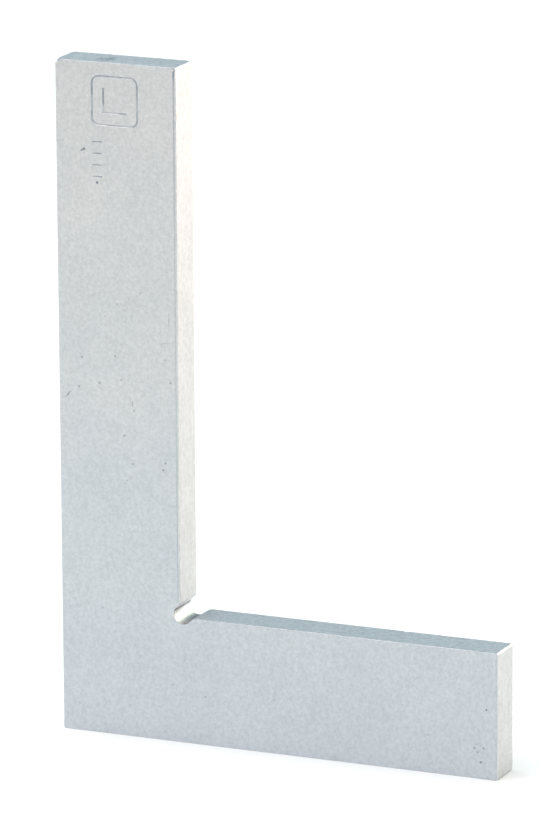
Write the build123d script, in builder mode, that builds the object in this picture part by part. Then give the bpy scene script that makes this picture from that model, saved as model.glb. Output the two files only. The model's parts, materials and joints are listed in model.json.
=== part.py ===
"""Flat steel square: one L-shaped plate, ground flat and square on every face.

Frame: the origin is the apex of the outer right angle, at mid-thickness.
+X runs along the foot leg, +Z up the upright leg, and Y is the thickness.
All sizes are in millimetres.
"""

from build123d import *
import math
import os

# Outline of the square
UPRIGHT_LENGTH = 100.0  # outer height of the upright leg
FOOT_LENGTH = 68.5  # outer length of the foot leg
UPRIGHT_WIDTH = 18.9  # from the outer to the inner working edge of the upright
FOOT_WIDTH = 18.9  # from the outer to the inner working edge of the foot
THICKNESS = 5.8

# Relief slot, cut at 45 degrees into the inner corner so that a workpiece seats
RELIEF_RADIUS = 1.4  # round bottom of the slot, half of the slot's width
RELIEF_SETBACK = 0.4  # from the inner corner out to the centre of the round bottom, in X and in Z
UPRIGHT_LIP_RADIUS = 0.3  # rounding where the slot runs out into the upright's inner edge
FOOT_LIP_RADIUS = 1.6  # rounding where the slot runs out into the foot's inner edge

# Corners of the outline, rounded across the thickness
APEX_RADIUS = 0.4
TOP_OUTER_RADIUS = 0.25
TOP_INNER_RADIUS = 0.35
FOOT_END_RADIUS = 0.35

# Broken edges all round both flat faces
EDGE_RADIUS = 0.12

# Shallow mark near the top of the front face: a framed right-angle sign and a row of ticks
MARK_DEPTH = 0.08
MARK_FROM_TOP = 5.6  # top end of the upright to the centre of the frame
MARK_FROM_OUTER_EDGE = 9.3  # outer edge of the upright to the centre of the frame
MARK_FRAME_SIZE = 7.4
MARK_FRAME_CORNER = 1.2
MARK_LINE = 0.3
ANGLE_SIGN_SIZE = 3.8
TICK_LENGTH = 1.5
TICK_WIDTH = 0.3
TICK_COUNT = 4
TICK_PITCH = 1.7
TICKS_BELOW_FRAME = 2.4  # bottom of the frame to the first tick
TICKS_SIDESTEP = 2.8  # row of ticks, from the centre of the frame towards the outer edge

FRONT_Y = -THICKNESS / 2

# Relief slot: centre of its round bottom, and where its 45 degree walls meet the inner edges
relief_x = UPRIGHT_WIDTH + RELIEF_SETBACK
relief_z = FOOT_WIDTH + RELIEF_SETBACK
slot_step = RELIEF_RADIUS * math.sqrt(0.5)
lip_reach = 2 * slot_step

with BuildPart() as square_body:
    with BuildSketch(Plane.XZ) as outline:
        with BuildLine() as boundary:
            upright_wall = Line(
                (UPRIGHT_WIDTH, FOOT_WIDTH + lip_reach),
                (relief_x - slot_step, relief_z + slot_step),
            )
            slot_bottom = ThreePointArc(
                upright_wall @ 1,
                (relief_x - slot_step, relief_z - slot_step),
                (relief_x + slot_step, relief_z - slot_step),
            )
            foot_wall = Line(slot_bottom @ 1, (UPRIGHT_WIDTH + lip_reach, FOOT_WIDTH))
            Polyline(
                foot_wall @ 1,
                (FOOT_LENGTH, FOOT_WIDTH),
                (FOOT_LENGTH, 0),
                (0, 0),
                (0, UPRIGHT_LENGTH),
                (UPRIGHT_WIDTH, UPRIGHT_LENGTH),
                upright_wall @ 0,
            )
        make_face()
        corner_radii = (
            ((0, 0), APEX_RADIUS),
            ((0, UPRIGHT_LENGTH), TOP_OUTER_RADIUS),
            ((UPRIGHT_WIDTH, UPRIGHT_LENGTH), TOP_INNER_RADIUS),
            ((FOOT_LENGTH, 0), FOOT_END_RADIUS),
            ((FOOT_LENGTH, FOOT_WIDTH), FOOT_END_RADIUS),
            ((UPRIGHT_WIDTH, FOOT_WIDTH + lip_reach), UPRIGHT_LIP_RADIUS),
            ((UPRIGHT_WIDTH + lip_reach, FOOT_WIDTH), FOOT_LIP_RADIUS),
        )
        for (corner_x, corner_z), corner_radius in corner_radii:
            corner = outline.vertices().sort_by_distance((corner_x, corner_z))[0]
            fillet(corner, radius=corner_radius)
    extrude(amount=THICKNESS / 2, both=True)
    fillet(square_body.faces().filter_by(Axis.Y).edges(), radius=EDGE_RADIUS)

    # The mark is cut last, so that its own edges stay crisp
    frame_x = MARK_FROM_OUTER_EDGE
    frame_z = UPRIGHT_LENGTH - MARK_FROM_TOP
    first_tick_z = frame_z - MARK_FRAME_SIZE / 2 - TICKS_BELOW_FRAME
    ticks_middle_z = first_tick_z - TICK_PITCH * (TICK_COUNT - 1) / 2
    with BuildSketch(Plane.XZ.offset(-FRONT_Y)) as mark:
        with Locations((frame_x, frame_z)):
            RectangleRounded(MARK_FRAME_SIZE, MARK_FRAME_SIZE, MARK_FRAME_CORNER)
            RectangleRounded(
                MARK_FRAME_SIZE - 2 * MARK_LINE,
                MARK_FRAME_SIZE - 2 * MARK_LINE,
                MARK_FRAME_CORNER - MARK_LINE,
                mode=Mode.SUBTRACT,
            )
        with Locations((frame_x - ANGLE_SIGN_SIZE / 2, frame_z - ANGLE_SIGN_SIZE / 2)):
            Rectangle(MARK_LINE, ANGLE_SIGN_SIZE, align=Align.MIN)
            Rectangle(ANGLE_SIGN_SIZE, MARK_LINE, align=Align.MIN)
        with Locations((frame_x - TICKS_SIDESTEP, ticks_middle_z)):
            with GridLocations(0, TICK_PITCH, 1, TICK_COUNT):
                Rectangle(TICK_LENGTH, TICK_WIDTH)
    extrude(amount=-MARK_DEPTH, mode=Mode.SUBTRACT)

square_body.part.label = "square_body"

os.makedirs("parts", exist_ok=True)
export_step(square_body.part, "parts/square_body.step")
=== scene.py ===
import json
import math
import random

import bpy
from mathutils import Matrix, Vector, noise
from mathutils.geometry import delaunay_2d_cdt
from mathutils.kdtree import KDTree


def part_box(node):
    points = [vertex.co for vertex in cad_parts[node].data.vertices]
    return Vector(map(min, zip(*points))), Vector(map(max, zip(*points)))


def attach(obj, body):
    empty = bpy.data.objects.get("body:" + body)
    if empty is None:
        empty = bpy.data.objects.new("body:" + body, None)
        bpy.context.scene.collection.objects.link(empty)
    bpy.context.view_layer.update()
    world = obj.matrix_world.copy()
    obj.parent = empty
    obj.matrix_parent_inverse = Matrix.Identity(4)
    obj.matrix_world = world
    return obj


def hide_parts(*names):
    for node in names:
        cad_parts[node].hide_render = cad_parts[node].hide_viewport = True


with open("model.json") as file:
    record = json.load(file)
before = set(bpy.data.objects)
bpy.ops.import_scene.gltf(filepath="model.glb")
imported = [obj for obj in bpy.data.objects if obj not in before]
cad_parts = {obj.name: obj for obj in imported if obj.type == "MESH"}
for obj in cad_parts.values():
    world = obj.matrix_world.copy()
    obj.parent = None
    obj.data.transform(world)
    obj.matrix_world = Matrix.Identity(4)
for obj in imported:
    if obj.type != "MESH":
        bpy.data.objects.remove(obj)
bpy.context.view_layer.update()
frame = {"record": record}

# Every size below is in millimetres, and meshes are scaled to metres as they are made.
MM = 0.001

# Sizes of the plate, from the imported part
plate_low, plate_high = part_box("square_body")
mounts = {mount["name"]: mount["pos_m"] for mount in frame["record"]["mounts"]}
foot_length = plate_high.x / MM
upright_length = plate_high.z / MM
half_thickness = plate_high.y / MM
upright_width = mounts["inner_upright_edge"][0] / MM
foot_width = mounts["inner_foot_edge"][2] / MM

# Relief slot in the inner corner, as the part has it
RELIEF_RADIUS = 1.4
RELIEF_SETBACK = 0.4
UPRIGHT_LIP_RADIUS = 0.3
FOOT_LIP_RADIUS = 1.6

# Corners of the outline
APEX_RADIUS = 0.4
TOP_OUTER_RADIUS = 0.25
TOP_INNER_RADIUS = 0.35
FOOT_END_RADIUS = 0.35

# Broken edges: crisp all round, softer at the front of the upright's inner face, and wandering a
# little along the plate, as hand stoning leaves them
CRISP_EDGE_RADIUS = 0.06
SOFT_EDGE_RADIUS = 0.18
SOFT_EDGE_STOP = 0.5  # the softer edge ends this far below the top end
EDGE_WANDER = 0.02
EDGE_WANDER_LENGTH = 6.0
FRONT_BACK_SHIFT = 20  # keeps the front edge's wander unlike the back's
EDGE_TURN_STEPS = 5
EDGE_RUNOUT = 0.06  # narrow strip past a broken edge, still partly polished
RUNOUT_WEAR = 0.35
SMALLEST_ROOM = 0.08  # an outline corner keeps this much radius inside a broken edge

# Flat strip beside a broken edge, where an edge's darkening spreads. Its rings, inner first, are each a
# share of the strip's width and how much of the darkening reaches them. Less reaches the start of the
# rounding.
SUPPORT_WIDTH = 0.3
SUPPORT_RINGS = ((1.0, 0.0), (0.7, 1.0), (0.2, 1.0))
TURN_START_DARKENING = 0.3

# How finely the outline, the narrow faces and the flat faces are divided
OUTLINE_SPACING = 0.3
ARC_STEP = math.radians(7.5)
MIDDLE_STATIONS = (-2.4, -2.0, -1.6, -1.2, 0.0, 1.2, 2.0, 2.4)
FACE_SPACING = 1.2
CLEAR_SHARE = 0.4  # shares of the spacing that a face's grid keeps from other points and from the rim
RIM_SHARE = 0.6
SAME_POINT = 1e-6
SHARP_ANGLE = math.radians(24)

# Mark near the top of the front face: a framed right-angle sign above a row of ticks
MARK_DEPTH = 0.08
MARK_BEVEL = 0.11
MARK_FROM_OUTER_EDGE = 9.3  # outer edge of the upright to the centre of the frame
MARK_FROM_TOP = 5.6  # top end of the upright to the centre of the frame
MARK_FRAME_SIZE = 7.4
MARK_FRAME_CORNER = 1.2
MARK_LINE = 0.3
STROKE_TIP_RADIUS = MARK_LINE * 0.4
SIGN_INNER_RADIUS = 0.02
STROKE_SPACING = 0.5
MARK_CLEARANCE = 0.6  # scattered pits keep this far from the mark
ANGLE_SIGN_SIZE = 3.8
TICK_LENGTH = 1.5
TICK_COUNT = 4
TICK_PITCH = 1.7
TICKS_BELOW_FRAME = 2.4
TICKS_SIDESTEP = 2.8


# ---------------------------------------------------------------- outlines

def rounded_loop(corners, spacing):
    """A closed anticlockwise outline of (x, z, radius) corners, as (point, outward normal, room) steps.

    The room is how far a step can move inwards before its corner closes up.
    """
    arcs = []
    for index, (x, z, radius) in enumerate(corners):
        here = Vector((x, z))
        arrive = (here - Vector(corners[index - 1][:2])).normalized()
        leave = (Vector(corners[(index + 1) % len(corners)][:2]) - here).normalized()
        turn = math.atan2(arrive.x * leave.y - arrive.y * leave.x, arrive.dot(leave))
        side = math.copysign(1, turn)
        outward = Vector((arrive.y, -arrive.x))
        centre = here - arrive * radius * math.tan(abs(turn) / 2) - outward * radius * side
        steps = max(2, math.ceil(abs(turn) / ARC_STEP))
        arc = []
        for step in range(steps + 1):
            normal = outward.copy()
            normal.rotate(Matrix.Rotation(turn * step / steps, 2))
            arc.append((centre + normal * radius * side, normal, radius if side > 0 else math.inf))
        arcs.append(arc)
    loop = []
    for index, arc in enumerate(arcs):
        end, normal, _ = arc[-1]
        start = arcs[(index + 1) % len(arcs)][0][0]
        run = (start - end).length
        loop += arc
        if run < spacing / 10:
            loop.pop()  # the next corner starts where this one ends
        steps = max(1, round(run / spacing))
        loop += [(end.lerp(start, step / steps), normal, math.inf) for step in range(1, steps)]
    return loop


def inset(loop, distance):
    """A loop's points moved inwards by a distance."""
    return [point - normal * distance for point, normal, _ in loop]


def rectangle(centre_x, centre_z, width, height, radius):
    """Corners of a rounded rectangle for rounded_loop."""
    left, right = centre_x - width / 2, centre_x + width / 2
    bottom, top = centre_z - height / 2, centre_z + height / 2
    return [(left, bottom, radius), (right, bottom, radius), (right, top, radius), (left, top, radius)]


slot_reach = 2 * RELIEF_RADIUS * math.sqrt(0.5)
slot_centre = Vector((upright_width + RELIEF_SETBACK, foot_width + RELIEF_SETBACK))
plate_corners = [
    (0, 0, APEX_RADIUS),
    (foot_length, 0, FOOT_END_RADIUS),
    (foot_length, foot_width, FOOT_END_RADIUS),
    (upright_width + slot_reach, foot_width, FOOT_LIP_RADIUS),
    (slot_centre.x, slot_centre.y - slot_reach, RELIEF_RADIUS),
    (slot_centre.x - slot_reach, slot_centre.y, RELIEF_RADIUS),
    (upright_width, foot_width + slot_reach, UPRIGHT_LIP_RADIUS),
    (upright_width, upright_length, TOP_INNER_RADIUS),
    (0, upright_length, TOP_OUTER_RADIUS),
]
plate_outline = rounded_loop(plate_corners, OUTLINE_SPACING)


# ---------------------------------------------------------------- the plate's surface

class Surface:
    """Vertices in millimetres, faces with a finish each, each vertex's wear and painted highlight, and its
    grime, darkening and painted shade.
    """

    def __init__(self):
        self.vertices = []
        self.wear_and_sheen = []
        self.grime_and_shade = []
        self.faces = []
        self.finishes = []

    def add(self, x, y, z, wear_and_sheen=0.0, grime_and_shade=0.0):
        self.vertices.append(Vector((x, y, z)))
        self.wear_and_sheen.append(wear_and_sheen)
        self.grime_and_shade.append(grime_and_shade)
        return len(self.vertices) - 1

    def face(self, corners, finish):
        self.faces.append(corners)
        self.finishes.append(finish)


FACE, EDGE, SLOT, RECESS = range(4)

# Dents in the broken edges: a point on the outline, front or back, the dent's size and its depth
EDGE_DENTS = (
    (upright_width, 92.3, -1, 0.55, 0.10),
    (upright_width, 86.0, -1, 0.40, 0.07),
    (upright_width, 62.0, -1, 0.35, 0.05),
    (0.0, 49.7, -1, 0.50, 0.05),
    (44.0, foot_width, -1, 0.45, 0.07),
    (65.6, foot_width, -1, 0.40, 0.08),
    (foot_length, 13.5, -1, 0.50, 0.09),
    (66.9, 0.0, -1, 0.60, 0.10),
    (31.0, 0.0, -1, 0.40, 0.06),
    (upright_width, 55.0, 1, 0.45, 0.08),
    (0.0, 71.0, 1, 0.60, 0.10),
    (52.0, foot_width, 1, 0.45, 0.07),
    (foot_length, 6.0, 1, 0.50, 0.09),
)

# Corners of the plate knocked blunt: the corner's x and z, front or back, and how far the blunt
# facet reaches along the thickness, along the end and down the leg
BLUNT_CORNERS = (
    (0.0, upright_length, -1, 1.3, 1.0, 0.65),
    (0.0, upright_length, 1, 0.5, 0.5, 0.3),
    (upright_width, upright_length, 1, 0.5, 0.55, 0.35),
)

# Darkening that changes along an edge, as runs of (place, amount). The place is a height up the front
# edge of the upright's inner face, or a distance out along the foot's inner edge. Full darkening is 1,
# and more is darker still.
INNER_EDGE_DARKENING = (
    (20.0, 0.2),
    (26.0, 0.36),
    (76.0, 0.36),
    (84.0, 0.62),
    (97.6, 0.66),
    (98.6, 1.4),
    (100.0, 1.4),
)
FOOT_EDGE_DARKENING = ((20.2, 0.5), (21.5, 0.36), (25.0, 0.0))
INNER_EDGE_NICKS = ((92.3, 0.45), (86.0, 0.35), (62.0, 0.3))  # (height, reach), each darkened in full

# Even darkening beside the foot's end; painted shade on the blunt corners and the slot's rims
END_EDGE_DARKENING = 0.15
CORNER_PAINTED_SHADE = 0.3
SLOT_RIM_PAINTED_SHADE = 0.5

# Painted shade and painted highlight round the slot, as runs of (which way the wall faces in degrees up
# from +X, amount)
# Painted shade: a dark band where the wall faces a little down, and darker where it faces up towards the
# slot's floor
SLOT_PAINTED_SHADE = (
    (-46.0, 0.05),
    (-40.0, 0.1),
    (-32.0, 0.8),
    (-20.0, 0.95),
    (-13.0, 0.1),
    (-10.0, 0.0),
    (38.0, 0.0),
    (55.0, 0.2),
    (70.0, 0.45),
    (90.0, 0.75),
    (136.0, 0.75),
)
# Painted highlight where the wall faces out, carried in the wear value
SLOT_PAINTED_HIGHLIGHT = (
    (-46.0, 0.75),
    (-34.0, 0.7),
    (-20.0, 0.9),
    (-12.0, 1.0),
    (10.0, 1.0),
    (24.0, 0.45),
    (40.0, 0.1),
    (60.0, 0.0),
    (136.0, 0.0),
)

# How near a point has to be to count as on the slot's wall, the foot's inner edge with its lip, the
# upright's inner face with its corners, or the foot's end
SLOT_WALL_REACH = RELIEF_RADIUS * 1.2
FOOT_EDGE_REACH = 0.6
INNER_FACE_REACH = 0.4
END_FACE_REACH = 0.01
FACES_UP = 0.5  # the upward part of a normal that faces mostly up


def along_runs(runs, place):
    """The amount at a place between the ends of some runs, or nothing outside them."""
    for (start, low), (end, high) in zip(runs, runs[1:]):
        if start <= place <= end:
            return low + (high - low) * (place - start) / (end - start)
    return 0.0


def in_slot(point):
    """Whether a point of the outline is on the slot's wall."""
    return (point - slot_centre).length <= SLOT_WALL_REACH


def facing_degrees(normal):
    """Which way the slot's wall faces, in degrees up from +X."""
    return math.degrees(math.atan2(normal.y, normal.x))


def darkening_at(point, normal, y, beside):
    """How dark a point of the rings is made: painted shade round the slot, and darkening along some edges.
    Beside is how much of an edge's darkening reaches it.
    """
    on_flat = abs(y) >= half_thickness
    if in_slot(point):
        if on_flat:
            return 0.0
        # Painted shade round the slot's wall and on its rims
        on_rim = abs(y) > half_thickness - CRISP_EDGE_RADIUS / 2
        return max(along_runs(SLOT_PAINTED_SHADE, facing_degrees(normal)), SLOT_RIM_PAINTED_SHADE if on_rim else 0.0)
    if abs(point.y - foot_width) < FOOT_EDGE_REACH and normal.y > FACES_UP:
        return 0.0 if on_flat else along_runs(FOOT_EDGE_DARKENING, point.x)
    if y > 0:
        return 0.0
    if abs(point.x - foot_length) < END_FACE_REACH:
        return END_EDGE_DARKENING * beside
    if abs(point.x - upright_width) > INNER_FACE_REACH or point.y < slot_centre.y:
        return 0.0
    amount = along_runs(INNER_EDGE_DARKENING, point.y)
    for height, reach in INNER_EDGE_NICKS:
        amount = max(amount, 1.0 - abs(point.y - height) / reach)
    return amount * beside


def wear_and_sheen_at(point, normal, wear_and_sheen):
    """How worn a point of the rings is at the broken edges, with the painted highlight on the side of the
    slot that faces out.
    """
    return along_runs(SLOT_PAINTED_HIGHLIGHT, facing_degrees(normal)) if in_slot(point) else wear_and_sheen


def edge_radius(point, side):
    """Radius of the broken edge at a point of the outline, on the front (-1) or back (1)."""
    on_inner_face = abs(point.x - upright_width) < INNER_FACE_REACH
    soft = side < 0 and on_inner_face and foot_width < point.y < upright_length - SOFT_EDGE_STOP
    radius = SOFT_EDGE_RADIUS if soft else CRISP_EDGE_RADIUS
    place = Vector((point.x, side * FRONT_BACK_SHIFT, point.y)) / EDGE_WANDER_LENGTH
    return radius + EDGE_WANDER * noise.noise(place)


def dented(place):
    """A point near an edge, pushed in where a dent has caught it."""
    for x, z, side, size, depth in EDGE_DENTS:
        centre = Vector((x, side * half_thickness, z))
        nearness = 1 - (place - centre).length / size
        if nearness > 0:
            push = Vector((0, -side, 0)) * depth
            if x in (0.0, upright_width):
                push.x += math.copysign(depth, upright_width / 2 - x)
            else:
                push.z += math.copysign(depth, foot_width / 2 - z)
            return place + push * nearness * nearness * (3 - 2 * nearness)
    return place


def blunted(place):
    """A point near a knocked corner, pressed back onto its blunt facet."""
    for x, z, side, along_y, along_x, along_z in BLUNT_CORNERS:
        inwards = Vector((
            math.copysign(1 / along_x, upright_width / 2 - x),
            -side / along_y,
            math.copysign(1 / along_z, foot_width - z),
        ))
        away = place - Vector((x, side * half_thickness, z))
        beyond = 1 - away.dot(inwards)
        near = away.length < 2 * max(along_x, along_y, along_z)
        if near and beyond > 0:
            return place + inwards * beyond / inwards.length_squared
    return place


def stations(point, room):
    """(inset, y, wear, beside) of each ring across the thickness, from the front face to the back."""
    rings = []
    for side in (-1, 1):
        radius = min(edge_radius(point, side), room - SMALLEST_ROOM)
        support = min(SUPPORT_WIDTH, (room - radius) / 2)
        half = [(radius + support * share, 0.0, 0.0, beside) for share, beside in SUPPORT_RINGS]
        for step in range(EDGE_TURN_STEPS + 1):
            angle = math.pi / 2 * step / EDGE_TURN_STEPS
            beside = TURN_START_DARKENING if step == 0 else 0.0
            half.append((radius * (1 - math.sin(angle)), radius * (1 - math.cos(angle)), 1.0, beside))
        half.append((0.0, radius + EDGE_RUNOUT, RUNOUT_WEAR, 0.0))
        placed = [(inwards, side * (half_thickness - behind), *rest) for inwards, behind, *rest in half]
        rings.append(placed)
    front, back = rings
    return front + [(0.0, y, 0.0, 0.0) for y in MIDDLE_STATIONS] + back[::-1]


def add_narrow_faces(surface):
    """The working edges, the ends and the slot: rings round the outline. Returns the two rims."""
    rings = []
    for point, normal, room in plate_outline:
        column = []
        for inwards, y, wear_and_sheen, beside in stations(point, room):
            spot = point - normal * inwards
            sharp = dented(Vector((spot.x, y, spot.y)))
            place = blunted(sharp)
            # Painted shade on the blunt facets; elsewhere painted shade round the slot and darkening along
            # some edges
            grime_and_shade = CORNER_PAINTED_SHADE if place != sharp else darkening_at(point, normal, y, beside)
            column.append(surface.add(*place, wear_and_sheen_at(point, normal, wear_and_sheen), grime_and_shade))
        rings.append(column)
    strips = len(SUPPORT_RINGS)
    for index, (point, _, _) in enumerate(plate_outline):
        finish = SLOT if in_slot(point) else EDGE
        here, after = rings[index], rings[(index + 1) % len(rings)]
        for station in range(len(here) - 1):
            quad = (here[station], here[station + 1], after[station + 1], after[station])
            on_flat = station < strips or station >= len(here) - 1 - strips
            surface.face(quad, FACE if on_flat else finish)
    return [column[0] for column in rings], [column[-1] for column in rings]


def stroke(corners):
    """The crisp edge and the floor of a stamped stroke's outline, as (loop, depth) pairs."""
    loop = rounded_loop(corners, STROKE_SPACING)
    return [(inset(loop, 0), 0.0), (inset(loop, MARK_BEVEL), MARK_DEPTH)]


def frame_stroke(centre_x, centre_z):
    """The mark's frame: its two outlines, each with a crisp edge and a floor."""
    size, radius = MARK_FRAME_SIZE, MARK_FRAME_CORNER
    outer = rounded_loop(rectangle(centre_x, centre_z, size, size, radius), STROKE_SPACING)
    size, radius = size - 2 * MARK_LINE, radius - MARK_LINE
    inner = rounded_loop(rectangle(centre_x, centre_z, size, size, radius), STROKE_SPACING)
    return [
        (inset(outer, 0), 0.0),
        (inset(outer, MARK_BEVEL), MARK_DEPTH),
        (inset(inner, -MARK_BEVEL), MARK_DEPTH),
        (inset(inner, 0), 0.0),
    ]


def mark_strokes():
    """All strokes of the mark on the front face."""
    centre_x = MARK_FROM_OUTER_EDGE
    centre_z = upright_length - MARK_FROM_TOP
    strokes = frame_stroke(centre_x, centre_z)
    left, bottom = centre_x - ANGLE_SIGN_SIZE / 2, centre_z - ANGLE_SIGN_SIZE / 2
    right, top = left + ANGLE_SIGN_SIZE, bottom + ANGLE_SIGN_SIZE
    tip = STROKE_TIP_RADIUS
    strokes += stroke([
        (left, bottom, tip),
        (right, bottom, tip),
        (right, bottom + MARK_LINE, tip),
        (left + MARK_LINE, bottom + MARK_LINE, SIGN_INNER_RADIUS),
        (left + MARK_LINE, top, tip),
        (left, top, tip),
    ])
    first_z = centre_z - MARK_FRAME_SIZE / 2 - TICKS_BELOW_FRAME
    for count in range(TICK_COUNT):
        tick_z = first_z - TICK_PITCH * count
        strokes += stroke(rectangle(centre_x - TICKS_SIDESTEP, tick_z, TICK_LENGTH, MARK_LINE, tip))
    return strokes


PIT_SIDES = 9
PIT_RINGS = ((1.0, 0.0), (0.6, 0.7))  # share of the radius, and share of the depth
SCRATCH_SPACING = 0.15
SCRATCH_ENDS = (0.04, 0.96)  # a scratch stops narrowing at these shares of its length


def pit(x, z, radius, depth):
    """A small round pit: its centre, its rim and a ring part way down, as (point, depth) pairs."""
    spots = [(Vector((x, z)), depth)]
    for share, fall in PIT_RINGS:
        for step in range(PIT_SIDES):
            angle = math.tau * (step + share) / PIT_SIDES
            around = Vector((math.cos(angle), math.sin(angle))) * radius * share
            spots.append((Vector((x, z)) + around, depth * fall))
    return spots


def scratch(points, width, depth):
    """A thin groove through a few points: its bottom line and its two sides, tapering at the ends."""
    spots = []
    path = [Vector(point) for point in points]
    lengths = [(b - a).length for a, b in zip(path, path[1:])]
    total = sum(lengths)
    done = 0.0
    for a, b, length in zip(path, path[1:], lengths):
        steps = max(2, round(length / SCRATCH_SPACING))
        across = Vector((-(b - a).y, (b - a).x)).normalized()
        for step in range(steps):
            along = (done + length * step / steps) / total
            swell = math.sqrt(math.sin(math.pi * min(max(along, SCRATCH_ENDS[0]), SCRATCH_ENDS[1])))
            middle = a.lerp(b, step / steps)
            spots.append((middle, depth * swell))
            spots.append((middle + across * width / 2 * swell, 0.0))
            spots.append((middle - across * width / 2 * swell, 0.0))
        done += length
    return spots


LIP_ROOM = 0.5  # more room round the slot than round the rim, for its lips


def inside_plate(x, z, margin):
    """Whether a point of a flat face is clear of its rim and of the slot."""
    if (Vector((x, z)) - slot_centre).length < RELIEF_RADIUS + margin + LIP_ROOM:
        return False
    in_upright = margin < x < upright_width - margin and margin < z < upright_length - margin
    in_foot = margin < x < foot_length - margin and margin < z < foot_width - margin
    return in_upright or in_foot


def fill_flat_face(surface, rim, side, loops, spots):
    """Triangles over a flat face between its rim, stamped loops and small marks."""
    flat, owners, depths, edges = [], [], [], []

    def add_loop(points, indices, depth):
        first, count = len(flat), len(points)
        flat.extend(points)
        owners.extend(indices)
        depths.extend([depth] * count)
        edges.extend((first + i, first + (i + 1) % count) for i in range(count))

    def sink(point, depth, grime_and_shade=0.0):
        return surface.add(point.x, side * (half_thickness - depth), point.y, 0.0, grime_and_shade)

    rim_points = [Vector((surface.vertices[i].x, surface.vertices[i].z)) for i in rim]
    add_loop(rim_points, rim, 0.0)
    for points, depth in loops:
        add_loop(points, [sink(point, depth) for point in points], depth)
    for point, depth in spots:
        grime_and_shade = min(max((depth - CLEAN_DEPTH) / CLEAN_DEPTH, 0.0), 1.0)
        flat.append(point)
        owners.append(sink(point, depth, grime_and_shade))
        depths.append(depth)
    near = KDTree(len(flat))
    for index, point in enumerate(flat):
        near.insert(point.to_3d(), index)
    near.balance()
    row_height = FACE_SPACING * math.sqrt(0.75)
    for row in range(int(upright_length / row_height) + 1):
        for column in range(int(foot_length / FACE_SPACING) + 1):
            point = Vector(((column + row % 2 / 2) * FACE_SPACING, row * row_height))
            clear = near.find(point.to_3d())[2] > FACE_SPACING * CLEAR_SHARE
            if clear and inside_plate(point.x, point.y, FACE_SPACING * RIM_SHARE):
                flat.append(point)
                owners.append(sink(point, 0.0))
                depths.append(0.0)
    result = delaunay_2d_cdt(flat, edges, [], 1, SAME_POINT)
    triangles, origins = result[2], result[3]
    for triangle in triangles:
        sources = [origins[corner][0] for corner in triangle]
        if side > 0:
            sources.reverse()
        finish = RECESS if any(depths[i] > 0 for i in sources) else FACE
        surface.face([owners[i] for i in sources], finish)


# Small pits scattered over both flat faces
SMALL_PIT_RADII = (0.07, 0.17)
SMALL_PIT_DEPTHS = (0.2, 0.4)  # as shares of the radius
SMALL_PIT_FROM_RIM = 0.8
SMALL_PIT_APART = 0.6
PITS_FRONT = 14
PITS_BACK = 24


def clear_of(spots, x, z, room):
    """Whether a place is further than some room from every spot."""
    return all((point - Vector((x, z))).length > room for point, _ in spots)


def scattered_pits(rng, count, taken, blocked):
    """Small pits at random over a flat face, clear of each other and of what is there."""
    spots = []
    while count:
        x, z = rng.uniform(0, foot_length), rng.uniform(0, upright_length)
        radius = rng.uniform(*SMALL_PIT_RADII)
        free = inside_plate(x, z, SMALL_PIT_FROM_RIM) and clear_of(taken + spots, x, z, SMALL_PIT_APART)
        if free and not blocked(x, z):
            spots += pit(x, z, radius, radius * rng.uniform(*SMALL_PIT_DEPTHS))
            count -= 1
    return spots


def at_mark(x, z):
    """Whether a place is in the area that the frame and the ticks below it take up."""
    reach = MARK_FRAME_SIZE / 2 + MARK_CLEARANCE
    low = upright_length - MARK_FROM_TOP - reach - TICKS_BELOW_FRAME - TICK_PITCH * TICK_COUNT
    return abs(x - MARK_FROM_OUTER_EDGE) < reach and z > low


# Marks of use on the front face: pits as (x, z, radius, depth), and scratches as a line's points,
# its width and its depth
FRONT_PITS = (
    (3.13, 51.98, 0.20, 0.06),
    (8.98, 56.99, 0.19, 0.05),
    (3.67, 56.38, 0.17, 0.04),
    (14.29, 59.73, 0.20, 0.04),
    (16.91, 57.10, 0.18, 0.04),
    (11.86, 49.10, 0.18, 0.05),
    (9.90, 53.51, 0.15, 0.04),
    (6.41, 52.77, 0.16, 0.04),
    (17.70, 53.76, 0.17, 0.04),
    (10.30, 45.24, 0.18, 0.05),
    (10.70, 38.63, 0.17, 0.05),
    (16.79, 41.77, 0.16, 0.05),
    (16.46, 40.70, 0.17, 0.05),
    (13.10, 66.64, 0.16, 0.04),
    (4.00, 86.95, 0.20, 0.07),
    (4.38, 87.14, 0.23, 0.09),
    (6.41, 82.35, 0.22, 0.08),
    (66.75, 10.37, 0.17, 0.06),
    (66.28, 4.59, 0.18, 0.06),
    (65.41, 3.92, 0.19, 0.06),
    (65.90, 2.49, 0.22, 0.07),
    (64.93, 4.52, 0.17, 0.05),
)
FRONT_SCRATCHES = (
    (((0.75, 50.05), (1.25, 50.45), (1.60, 50.95), (1.95, 51.15)), 0.16, 0.05),
    (((17.57, 64.10), (17.55, 62.45)), 0.12, 0.035),
    (((16.45, 59.50), (17.40, 59.56), (18.30, 59.62)), 0.12, 0.035),
    (((11.64, 50.45), (11.63, 49.70)), 0.16, 0.04),
)
CLEAN_DEPTH = 0.035  # a pit or scratch holds no grime down to this depth, and is full of it at twice that


def sharpen_recesses(mesh):
    """Sharp edges round every recess, so that the flat face beside it stays flat in shading."""
    beside = {}
    for polygon in mesh.polygons:
        for key in polygon.edge_keys:
            beside.setdefault(key, set()).add(polygon.material_index)
    for edge in mesh.edges:
        if RECESS in beside[edge.key] and len(beside[edge.key]) > 1:
            edge.use_edge_sharp = True


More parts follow.
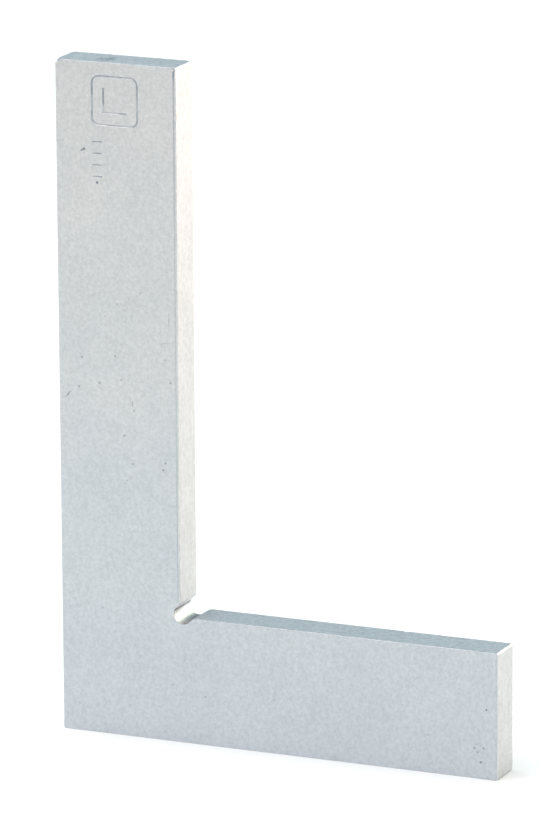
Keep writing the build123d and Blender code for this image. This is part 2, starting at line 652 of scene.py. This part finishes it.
def build_plate():
    """The whole square as one closed mesh, in metres, with a material index for each finish."""
    rng = random.Random(20)
    surface = Surface()
    front_rim, back_rim = add_narrow_faces(surface)
    spots = []
    for x, z, radius, depth in FRONT_PITS:
        spots += pit(x, z, radius, depth)
    for points, width, depth in FRONT_SCRATCHES:
        spots += scratch(points, width, depth)
    spots += scattered_pits(rng, PITS_FRONT, spots, at_mark)
    fill_flat_face(surface, front_rim, -1, mark_strokes(), spots)
    back_spots = scattered_pits(rng, PITS_BACK, [], lambda x, z: False)
    fill_flat_face(surface, back_rim, 1, [], back_spots)
    mesh = bpy.data.meshes.new("steel_square")
    mesh.from_pydata([vertex * MM for vertex in surface.vertices], [], surface.faces)
    mesh.polygons.foreach_set("material_index", surface.finishes)
    mesh.polygons.foreach_set("use_smooth", [True] * len(surface.faces))
    for name, values in (("wear_and_sheen", surface.wear_and_sheen), ("grime_and_shade", surface.grime_and_shade)):
        mesh.attributes.new(name, "FLOAT", "POINT").data.foreach_set("value", values)
    mesh.validate()
    mesh.set_sharp_from_angle(angle=SHARP_ANGLE)
    sharpen_recesses(mesh)
    mesh.update()
    plate = bpy.data.objects.new("steel_square", mesh)
    bpy.context.scene.collection.objects.link(plate)
    return plate


# ---------------------------------------------------------------- shader node groups

def feed(tree, socket, value):
    """Links an input to another node's output, or sets it to a plain value."""
    if isinstance(value, bpy.types.NodeSocket):
        tree.links.new(value, socket)
    else:
        socket.default_value = value


def node(tree, kind, inputs=None, **settings):
    """A node with its settings, and its inputs as plain values or links."""
    made = tree.nodes.new(kind)
    for name, value in settings.items():
        setattr(made, name, value)
    for socket, value in (inputs or {}).items():
        feed(tree, made.inputs[socket], value)
    return made


def math_node(tree, operation, *values):
    """The result of a Math node."""
    return node(tree, "ShaderNodeMath", dict(enumerate(values)), operation=operation).outputs[0]


def vector_node(tree, operation, *values):
    """The vector that a Vector Math node gives."""
    return node(tree, "ShaderNodeVectorMath", dict(enumerate(values)), operation=operation).outputs[0]


def remap(tree, value, low, high, new_low=0.0, new_high=1.0, smooth=True):
    """A value moved from one range to another, held inside it."""
    kind = "SMOOTHSTEP" if smooth else "LINEAR"
    sockets = {0: value, 1: low, 2: high, 3: new_low, 4: new_high}
    return node(tree, "ShaderNodeMapRange", sockets, interpolation_type=kind).outputs[0]


def noise_at(tree, place, scale, detail=2.0, rough=0.5):
    """A noise texture's value at a place."""
    inputs = {"Vector": place, "Scale": scale, "Detail": detail, "Roughness": rough}
    return node(tree, "ShaderNodeTexNoise", inputs).outputs["Fac"]


def new_group(name, inputs, outputs):
    """A shader node group with named sockets, and its two end nodes."""
    group = bpy.data.node_groups.new(name, "ShaderNodeTree")
    for label, kind, value in inputs:
        socket = group.interface.new_socket(label, in_out="INPUT", socket_type=kind)
        if value is not None:
            socket.default_value = value
    for label, kind in outputs:
        group.interface.new_socket(label, in_out="OUTPUT", socket_type=kind)
    return group, group.nodes.new("NodeGroupInput").outputs, group.nodes.new("NodeGroupOutput").inputs


FLOAT, VECTOR = "NodeSocketFloat", "NodeSocketVector"


def satin_grain_group():
    """Even tooth of a stoned steel face, as strong in fine grain as in coarse, and broad patches."""
    group, given, wanted = new_group(
        "Satin grain",
        [("Place", VECTOR, None), ("Grain Size", FLOAT, 1.0), ("Patch Size", FLOAT, 3.0)],
        [("Tone", FLOAT), ("Patch", FLOAT), ("Height", FLOAT)],
    )
    grain_scale = math_node(group, "DIVIDE", 1.0, given["Grain Size"])
    patch_scale = math_node(group, "DIVIDE", 1.0, given["Patch Size"])
    fine = noise_at(group, given["Place"], grain_scale, 4.0, 0.9)
    patch = noise_at(group, given["Place"], patch_scale, 3.0, 0.55)
    tone = remap(group, fine, 0.3, 0.7, smooth=False)
    group.links.new(tone, wanted["Tone"])
    group.links.new(remap(group, patch, 0.3, 0.7), wanted["Patch"])
    group.links.new(fine, wanted["Height"])
    return group


def specks_group():
    """Scattered tiny pits, which read as dark specks."""
    group, given, wanted = new_group(
        "Pit specks",
        [("Place", VECTOR, None), ("Spacing", FLOAT, 1.0), ("Size", FLOAT, 0.15), ("Share", FLOAT, 0.5)],
        [("Mask", FLOAT)],
    )
    scale = math_node(group, "DIVIDE", 1.0, given["Spacing"])
    cells = node(group, "ShaderNodeTexVoronoi", {"Vector": given["Place"], "Scale": scale})
    chance = node(group, "ShaderNodeSeparateColor", {"Color": cells.outputs["Color"]})
    share_of_size = remap(group, chance.outputs[1], 0.0, 1.0, 0.45, 1.0)
    radius = math_node(group, "MULTIPLY", given["Size"], share_of_size)
    reach = math_node(group, "DIVIDE", cells.outputs["Distance"], radius)
    round_spot = remap(group, reach, 0.55, 1.0, 1.0, 0.0)
    chosen = math_node(group, "LESS_THAN", chance.outputs[0], given["Share"])
    group.links.new(math_node(group, "MULTIPLY", round_spot, chosen), wanted["Mask"])
    return group


def ground_lines_group():
    """Straight grinding lines: long one way and fine across."""
    group, given, wanted = new_group(
        "Grinding lines",
        [("Place", VECTOR, None), ("Stretch", VECTOR, (1.0, 1.0, 1.0))],
        [("Tone", FLOAT), ("Height", FLOAT)],
    )
    drawn = vector_node(group, "MULTIPLY", given["Place"], given["Stretch"])
    lines = noise_at(group, drawn, 1.0, 4.0, 0.6)
    group.links.new(remap(group, lines, 0.3, 0.7, smooth=False), wanted["Tone"])
    group.links.new(lines, wanted["Height"])
    return group


def hairlines_group():
    """Sparse fine scratches in one direction."""
    group, given, wanted = new_group(
        "Hairline scratches",
        [
            ("Place", VECTOR, None),
            ("Angle", FLOAT, 0.0),
            ("Length", FLOAT, 8.0),
            ("Width", FLOAT, 0.12),
            ("Rarity", FLOAT, 0.68),
        ],
        [("Mask", FLOAT)],
    )
    through_plate = 0.05
    softness = 0.08
    turn = {"Vector": given["Place"], "Angle": given["Angle"]}
    turned = node(group, "ShaderNodeVectorRotate", turn, rotation_type="Y_AXIS")
    stretch = node(group, "ShaderNodeCombineXYZ", {
        0: math_node(group, "DIVIDE", 1.0, given["Length"]),
        1: through_plate,
        2: math_node(group, "DIVIDE", 1.0, given["Width"]),
    })
    drawn = vector_node(group, "MULTIPLY", turned.outputs[0], stretch.outputs[0])
    streaks = noise_at(group, drawn, 1.0, 1.0, 0.4)
    upper = math_node(group, "ADD", given["Rarity"], softness)
    group.links.new(remap(group, streaks, given["Rarity"], upper), wanted["Mask"])
    return group


def worn_edge_group():
    """Where handling has polished an edge, and the slot's painted highlight: the wear value, broken up."""
    group, given, wanted = new_group(
        "Worn edge",
        [("Place", VECTOR, None), ("Wear", FLOAT, 0.0), ("Break Size", FLOAT, 1.5)],
        [("Mask", FLOAT)],
    )
    scale = math_node(group, "DIVIDE", 1.0, given["Break Size"])
    broken = remap(group, noise_at(group, given["Place"], scale, 3.0), 0.35, 0.6, 0.35, 1.0)
    group.links.new(math_node(group, "MULTIPLY", given["Wear"], broken), wanted["Mask"])
    return group


def smudge_group():
    """A faint stain round a place, torn into wisps."""
    group, given, wanted = new_group(
        "Smudge",
        [("Place", VECTOR, None), ("Centre", VECTOR, (0.0, 0.0, 0.0)), ("Reach", FLOAT, 2.0)],
        [("Mask", FLOAT)],
    )
    wider_through_plate = (1.0, 0.85, 1.0)
    wisp_scale = 1.1
    away = vector_node(group, "SUBTRACT", given["Place"], given["Centre"])
    flattened = vector_node(group, "MULTIPLY", away, wider_through_plate)
    distance = node(group, "ShaderNodeVectorMath", {0: flattened}, operation="LENGTH")
    spread = math_node(group, "DIVIDE", distance.outputs["Value"], given["Reach"])
    wisps = remap(group, noise_at(group, given["Place"], wisp_scale, 3.0, 0.6), 0.35, 0.6)
    fading = remap(group, spread, 0.2, 1.0, 1.0, 0.0)
    group.links.new(math_node(group, "MULTIPLY", fading, wisps), wanted["Mask"])
    return group


GROUPS = {
    "grain": satin_grain_group(),
    "specks": specks_group(),
    "lines": ground_lines_group(),
    "hairlines": hairlines_group(),
    "wear_and_sheen": worn_edge_group(),
    "smudge": smudge_group(),
}


# ---------------------------------------------------------------- materials

# Colours that more than one finish shares
SPECK_COLOUR = (0.34, 0.36, 0.38, 1)
WORN_COLOUR = (0.74, 0.74, 0.73, 1)
# Shared by grime in deep pits and scratches, darkening along some edges and painted shade on the blunt
# corners
GRIME_AND_SHADE_COLOUR = (0.20, 0.21, 0.25, 1)
GRIME_AND_SHADE_STRENGTH = 0.62

# Two stains on the top end: a dark one and a faint greenish one
TOP_SMUDGE = (7.1, -0.5, upright_length)
TOP_STREAK = (15.5, 0.9, upright_length)


def effect(tree, name, **inputs):
    """One of the groups placed in a material, with its inputs set. Underscores stand for spaces."""
    placed = node(tree, "ShaderNodeGroup", node_tree=GROUPS[name])
    for label, value in inputs.items():
        feed(tree, placed.inputs[label.replace("_", " ")], value)
    return placed.outputs


# Places of a Mix node's sockets for colours, because other kinds of value share their names
MIX_FACTOR, MIX_FIRST, MIX_SECOND, MIX_RESULT = 0, 6, 7, 2


def mix(tree, factor, first, second, blend="MIX"):
    """Two colours mixed, or blended another way."""
    inputs = {MIX_FACTOR: factor, MIX_FIRST: first, MIX_SECOND: second}
    return node(tree, "ShaderNodeMix", inputs, data_type="RGBA", blend_type=blend).outputs[MIX_RESULT]


def steel(name):
    """A new material: its tree, its shader, and object coordinates in millimetres."""
    material = bpy.data.materials.new(name)
    material.use_nodes = True
    tree = material.node_tree
    shader = tree.nodes["Principled BSDF"]
    shader.inputs["Metallic"].default_value = 1.0
    coordinates = node(tree, "ShaderNodeTexCoord").outputs["Object"]
    scaled = node(tree, "ShaderNodeVectorMath", {0: coordinates, "Scale": 1 / MM}, operation="SCALE")
    return material, tree, shader, scaled.outputs[0]


def bump(tree, shader, height, strength, distance):
    """Feeds a height to the shader's normal. The distance is in millimetres."""
    made = node(tree, "ShaderNodeBump", {"Height": height, "Strength": strength, "Distance": distance * MM})
    tree.links.new(made.outputs["Normal"], shader.inputs["Normal"])


def attribute(tree, name):
    """A value that the mesh holds at each vertex."""
    return node(tree, "ShaderNodeAttribute", attribute_name=name).outputs["Fac"]


def toothed(tree, colour, tone, depth):
    """A colour made darker and lighter by the grain's tone, by a share of itself."""
    low, high = 1 - depth / 2, 1 + depth / 2
    shade = mix(tree, tone, (low, low, low, 1), (high, high, high, 1))
    return mix(tree, 1.0, colour, shade, "MULTIPLY")


def over(tree, colour, mask, strength, tint):
    """A colour with a tint laid over it by a mask, at most by the strength."""
    return mix(tree, math_node(tree, "MULTIPLY", mask, strength), colour, tint)


def lowered(tree, value, mask, depth):
    """A value made less by a mask, at most by the depth."""
    return math_node(tree, "SUBTRACT", value, math_node(tree, "MULTIPLY", mask, depth))


def face_steel():
    """The two broad faces: satin, with painted light that runs from cooler and darker at the foot to warmer
    and lighter at the top, and a few fine marks.
    """
    material, tree, shader, place = steel("satin_face_steel")
    grain = effect(tree, "grain", Place=place, Grain_Size=0.55, Patch_Size=9.0)
    specks = effect(tree, "specks", Place=place, Spacing=2.4, Size=0.1, Share=0.35)["Mask"]
    fine_specks = effect(tree, "specks", Place=place, Spacing=0.9, Size=0.16, Share=0.4)["Mask"]
    shallow = effect(tree, "hairlines", Place=place, Angle=0.18, Length=7.0, Width=0.1, Rarity=0.69)["Mask"]
    steep = effect(tree, "hairlines", Place=place, Angle=1.25, Length=5.0, Width=0.09, Rarity=0.7)["Mask"]
    worn = effect(tree, "wear_and_sheen", Place=place, Wear=attribute(tree, "wear_and_sheen"))["Mask"]
    height_up = node(tree, "ShaderNodeSeparateXYZ", {0: place}).outputs[2]
    # Painted light: from cooler and darker at the foot to warmer and lighter at the top, broken up by broad
    # patches
    painted_light_drift = math_node(tree, "ADD", height_up, math_node(tree, "MULTIPLY", grain["Patch"], 16.0))
    colour = mix(tree, remap(tree, painted_light_drift, 8.0, 106.0), (0.598, 0.622, 0.645, 1), (0.674, 0.653, 0.628, 1))
    colour = toothed(tree, colour, grain["Tone"], 0.27)
    colour = toothed(tree, colour, grain["Patch"], 0.03)
    colour = over(tree, colour, fine_specks, 0.12, (0.42, 0.44, 0.46, 1))
    colour = over(tree, colour, specks, 0.25, SPECK_COLOUR)
    colour = over(tree, colour, steep, 0.12, (0.45, 0.47, 0.48, 1))
    # Wear on the broken edges, and near the slot's rims a share of its painted highlight
    colour = over(tree, colour, worn, 0.2, WORN_COLOUR)
    # Grime in pits and scratches, darkening beside some edges, and painted shade near the blunt corners
    colour = over(tree, colour, attribute(tree, "grime_and_shade"), GRIME_AND_SHADE_STRENGTH, GRIME_AND_SHADE_COLOUR)
    tree.links.new(colour, shader.inputs["Base Color"])
    rough = remap(tree, grain["Tone"], 0.0, 1.0, 0.5, 0.44, smooth=False)
    rough = lowered(tree, rough, shallow, 0.08)
    rough = lowered(tree, rough, worn, 0.08)
    tree.links.new(rough, shader.inputs["Roughness"])
    height = math_node(tree, "MULTIPLY", grain["Height"], 0.5)
    for mask, depth in ((specks, 0.5), (fine_specks, 0.2), (shallow, 0.2), (steep, 0.2)):
        height = lowered(tree, height, mask, depth)
    bump(tree, shader, height, 0.4, 0.02)
    return material


def edge_steel():
    """The narrow faces: ground lengthwise, a little smoother than the broad ones, painted bluer where they
    face up and warmer where they face sideways as painted light, darkened at some edges, with painted shade
    on the blunt corners.
    """
    material, tree, shader, place = steel("ground_edge_steel")
    lines = effect(tree, "lines", Place=place, Stretch=(0.2, 5.0, 0.2))
    grain = effect(tree, "grain", Place=place, Grain_Size=0.9, Patch_Size=5.0)
    specks = effect(tree, "specks", Place=place, Spacing=1.6, Size=0.12, Share=0.35)["Mask"]
    worn = effect(tree, "wear_and_sheen", Place=place, Wear=attribute(tree, "wear_and_sheen"))["Mask"]
    grime_and_shade = attribute(tree, "grime_and_shade")
    smudge = effect(tree, "smudge", Place=place, Centre=TOP_SMUDGE, Reach=1.9)["Mask"]
    streak = effect(tree, "smudge", Place=place, Centre=TOP_STREAK, Reach=2.6)["Mask"]
    normal = node(tree, "ShaderNodeNewGeometry").outputs["Normal"]
    facing = node(tree, "ShaderNodeSeparateXYZ", {0: normal})
    facing_up = remap(tree, math_node(tree, "ABSOLUTE", facing.outputs[2]), 0.3, 0.9)
    # Painted light: narrow faces that face up are painted bluer and those that face sideways warmer, as the
    # light reaches them
    colour = mix(tree, facing_up, (0.64, 0.64, 0.626, 1), (0.65, 0.668, 0.68, 1))
    contrast = math_node(tree, "MULTIPLY_ADD", facing_up, 1.1, 1.0)
    tooth = math_node(tree, "SUBTRACT", grain["Tone"], 0.5)
    tooth = math_node(tree, "MULTIPLY_ADD", tooth, contrast, 0.5)
    colour = toothed(tree, colour, tooth, 0.28)
    colour = toothed(tree, colour, lines["Tone"], 0.1)
    colour = toothed(tree, colour, grain["Patch"], 0.05)
    colour = over(tree, colour, specks, 0.25, SPECK_COLOUR)
    colour = over(tree, colour, worn, 0.1, WORN_COLOUR)
    colour = over(tree, colour, smudge, 0.8, (0.27, 0.29, 0.30, 1))
    colour = over(tree, colour, streak, 0.25, (0.46, 0.53, 0.49, 1))
    # Darkening along some edges and painted shade on the blunt corners
    colour = over(tree, colour, grime_and_shade, GRIME_AND_SHADE_STRENGTH, GRIME_AND_SHADE_COLOUR)
    tree.links.new(colour, shader.inputs["Base Color"])
    rough = remap(tree, lines["Tone"], 0.0, 1.0, 0.45, 0.38, smooth=False)
    rough = lowered(tree, rough, worn, 0.06)
    rough = math_node(tree, "ADD", rough, math_node(tree, "MULTIPLY", grime_and_shade, 0.25))
    tree.links.new(rough, shader.inputs["Roughness"])
    line_height = math_node(tree, "MULTIPLY", lines["Height"], 0.4)
    grain_height = math_node(tree, "MULTIPLY", grain["Height"], 0.5)
    height = lowered(tree, math_node(tree, "ADD", line_height, grain_height), specks, 0.5)
    bump(tree, shader, height, 0.5, 0.025)
    return material


def slot_steel():
    """The relief slot: milled across the thickness, with a painted highlight where it faces out and painted
    shade in a band above and lower down.
    """
    material, tree, shader, place = steel("milled_slot_steel")
    lines = effect(tree, "lines", Place=place, Stretch=(5.0, 0.25, 5.0))
    grain = effect(tree, "grain", Place=place, Grain_Size=0.9, Patch_Size=1.6)
    painted_highlight = attribute(tree, "wear_and_sheen")
    grime_and_shade = attribute(tree, "grime_and_shade")
    # Painted highlight: near white where the slot faces out, duller elsewhere
    colour = mix(tree, painted_highlight, (0.60, 0.625, 0.64, 1), (0.96, 0.955, 0.94, 1))
    colour = toothed(tree, colour, lines["Tone"], 0.14)
    colour = toothed(tree, colour, grain["Patch"], 0.14)
    # Painted shade in the slot and on its rims
    colour = over(tree, colour, grime_and_shade, 0.92, (0.155, 0.165, 0.175, 1))
    tree.links.new(colour, shader.inputs["Base Color"])
    rough = remap(tree, lines["Tone"], 0.0, 1.0, 0.5, 0.4, smooth=False)
    tree.links.new(rough, shader.inputs["Roughness"])
    bump(tree, shader, lines["Height"], 0.5, 0.03)
    return material


def recess_steel():
    """Stamped strokes, pits and scratches: duller, patchy, and grimy where they are deep."""
    material, tree, shader, place = steel("grimy_recess_steel")
    grain = effect(tree, "grain", Place=place, Grain_Size=0.5, Patch_Size=2.2)
    colour = mix(tree, grain["Patch"], (0.39, 0.41, 0.43, 1), (0.62, 0.62, 0.61, 1))
    colour = toothed(tree, colour, grain["Tone"], 0.2)
    colour = over(tree, colour, attribute(tree, "grime_and_shade"), 0.85, (0.11, 0.15, 0.18, 1))
    tree.links.new(colour, shader.inputs["Base Color"])
    rough = remap(tree, grain["Patch"], 0.0, 1.0, 0.6, 0.5, smooth=False)
    tree.links.new(rough, shader.inputs["Roughness"])
    bump(tree, shader, grain["Height"], 0.4, 0.015)
    return material


# ---------------------------------------------------------------- stage, light and camera

CAMERA_AZIMUTH = math.radians(23.71)
CAMERA_ELEVATION = math.radians(14.17)
CAMERA_ROLL = math.radians(-0.32)
CAMERA_DISTANCE = 1001.7
CAMERA_SIDESTEP = 31.68  # the sidestep and rise go from the apex of the front face to the view's middle
CAMERA_RISE = 45.756
CAMERA_LENS = 295.3
SENSOR = 36.0
NEAR_CLIP = 10.0
FAR_CLIP = 50000.0

FLOOR_HALF_WIDTH = 6000.0
LIGHT_DISTANCE = 1200.0


def look_from(azimuth, elevation, roll):
    """Rotation of a camera that looks back at the object from that side."""
    back = Vector((
        math.sin(azimuth) * math.cos(elevation),
        -math.cos(azimuth) * math.cos(elevation),
        math.sin(elevation),
    ))
    right = Vector((math.cos(azimuth), math.sin(azimuth), 0))
    up = back.cross(right)
    rolled_right = right * math.cos(roll) + up * math.sin(roll)
    rolled_up = up * math.cos(roll) - right * math.sin(roll)
    return Matrix((rolled_right, rolled_up, back)).transposed()


def make_camera():
    """The camera, aimed from the apex of the front face by a sidestep, a rise and a distance."""
    turn = look_from(CAMERA_AZIMUTH, CAMERA_ELEVATION, CAMERA_ROLL)
    apex = Vector((0, -half_thickness, 0))
    place = apex + turn @ Vector((CAMERA_SIDESTEP, CAMERA_RISE, CAMERA_DISTANCE))
    data = bpy.data.cameras.new("camera")
    data.lens = CAMERA_LENS
    data.sensor_width = SENSOR
    data.sensor_fit = "AUTO"
    data.clip_start = NEAR_CLIP * MM
    data.clip_end = FAR_CLIP * MM
    camera = bpy.data.objects.new("camera", data)
    camera.matrix_world = Matrix.Translation(place * MM) @ turn.to_4x4()
    bpy.context.scene.collection.objects.link(camera)
    bpy.context.scene.camera = camera


def make_floor():
    """A plain white floor under the square."""
    half = FLOOR_HALF_WIDTH * MM
    mesh = bpy.data.meshes.new("floor")
    corners = [(-half, -half, 0), (half, -half, 0), (half, half, 0), (-half, half, 0)]
    mesh.from_pydata(corners, [], [(0, 1, 2, 3)])
    floor = bpy.data.objects.new("floor", mesh)
    bpy.context.scene.collection.objects.link(floor)
    material = bpy.data.materials.new("white_floor")
    material.use_nodes = True
    shader = material.node_tree.nodes["Principled BSDF"]
    shader.inputs["Base Color"].default_value = (0.94, 0.94, 0.94, 1)
    shader.inputs["Roughness"].default_value = 0.9
    shader.inputs["Specular IOR Level"].default_value = 0.0
    mesh.materials.append(material)


def soft_box(name, azimuth, elevation, distance, size, power, colour):
    """A square area light that faces the square's middle.

    The azimuth turns from the front towards the foot's end, in degrees like the elevation.
    The distance and size are in millimetres, the power in watts.
    """
    turn = look_from(math.radians(azimuth), math.radians(elevation), 0)
    middle = Vector((foot_length / 2, 0, upright_length / 2))
    data = bpy.data.lights.new(name, "AREA")
    data.shape = "SQUARE"
    data.size = size * MM
    data.energy = power
    data.color = colour
    lamp = bpy.data.objects.new(name, data)
    place = middle + turn @ Vector((0, 0, distance))
    lamp.matrix_world = Matrix.Translation(place * MM) @ turn.to_4x4()
    bpy.context.scene.collection.objects.link(lamp)


def make_light():
    """Plain soft studio light: a pale surround, and soft boxes overhead, at the sides and behind."""
    world = bpy.data.worlds.new("studio")
    world.use_nodes = True
    background = world.node_tree.nodes["Background"]
    background.inputs["Color"].default_value = (0.522, 0.633, 0.698, 1)
    background.inputs["Strength"].default_value = 1.0
    bpy.context.scene.world = world
    soft_box("overhead", 0, 80, LIGHT_DISTANCE, 900, 4.39, (1.0, 0.974, 0.875))
    soft_box("front_left", 330, 55, LIGHT_DISTANCE, 700, 3.29, (1.0, 0.786, 0.857))
    soft_box("left", 270, 45, LIGHT_DISTANCE, 700, 3.55, (0.937, 1.0, 0.92))
    soft_box("right", 90, 42, LIGHT_DISTANCE, 700, 2.13, (1.0, 0.679, 0.453))
    soft_box("back", 165, 14, LIGHT_DISTANCE, 700, 4.33, (0.995, 1.0, 0.707))
    soft_box("back_near", 150, 10, 500, 250, 0.35, (1.0, 0.66, 0.702))


plate = build_plate()
for finish in (face_steel(), edge_steel(), slot_steel(), recess_steel()):
    plate.data.materials.append(finish)
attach(plate, "root")
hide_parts("square_body")

make_floor()
make_light()
make_camera()
bpy.context.scene.view_settings.view_transform = "Standard"
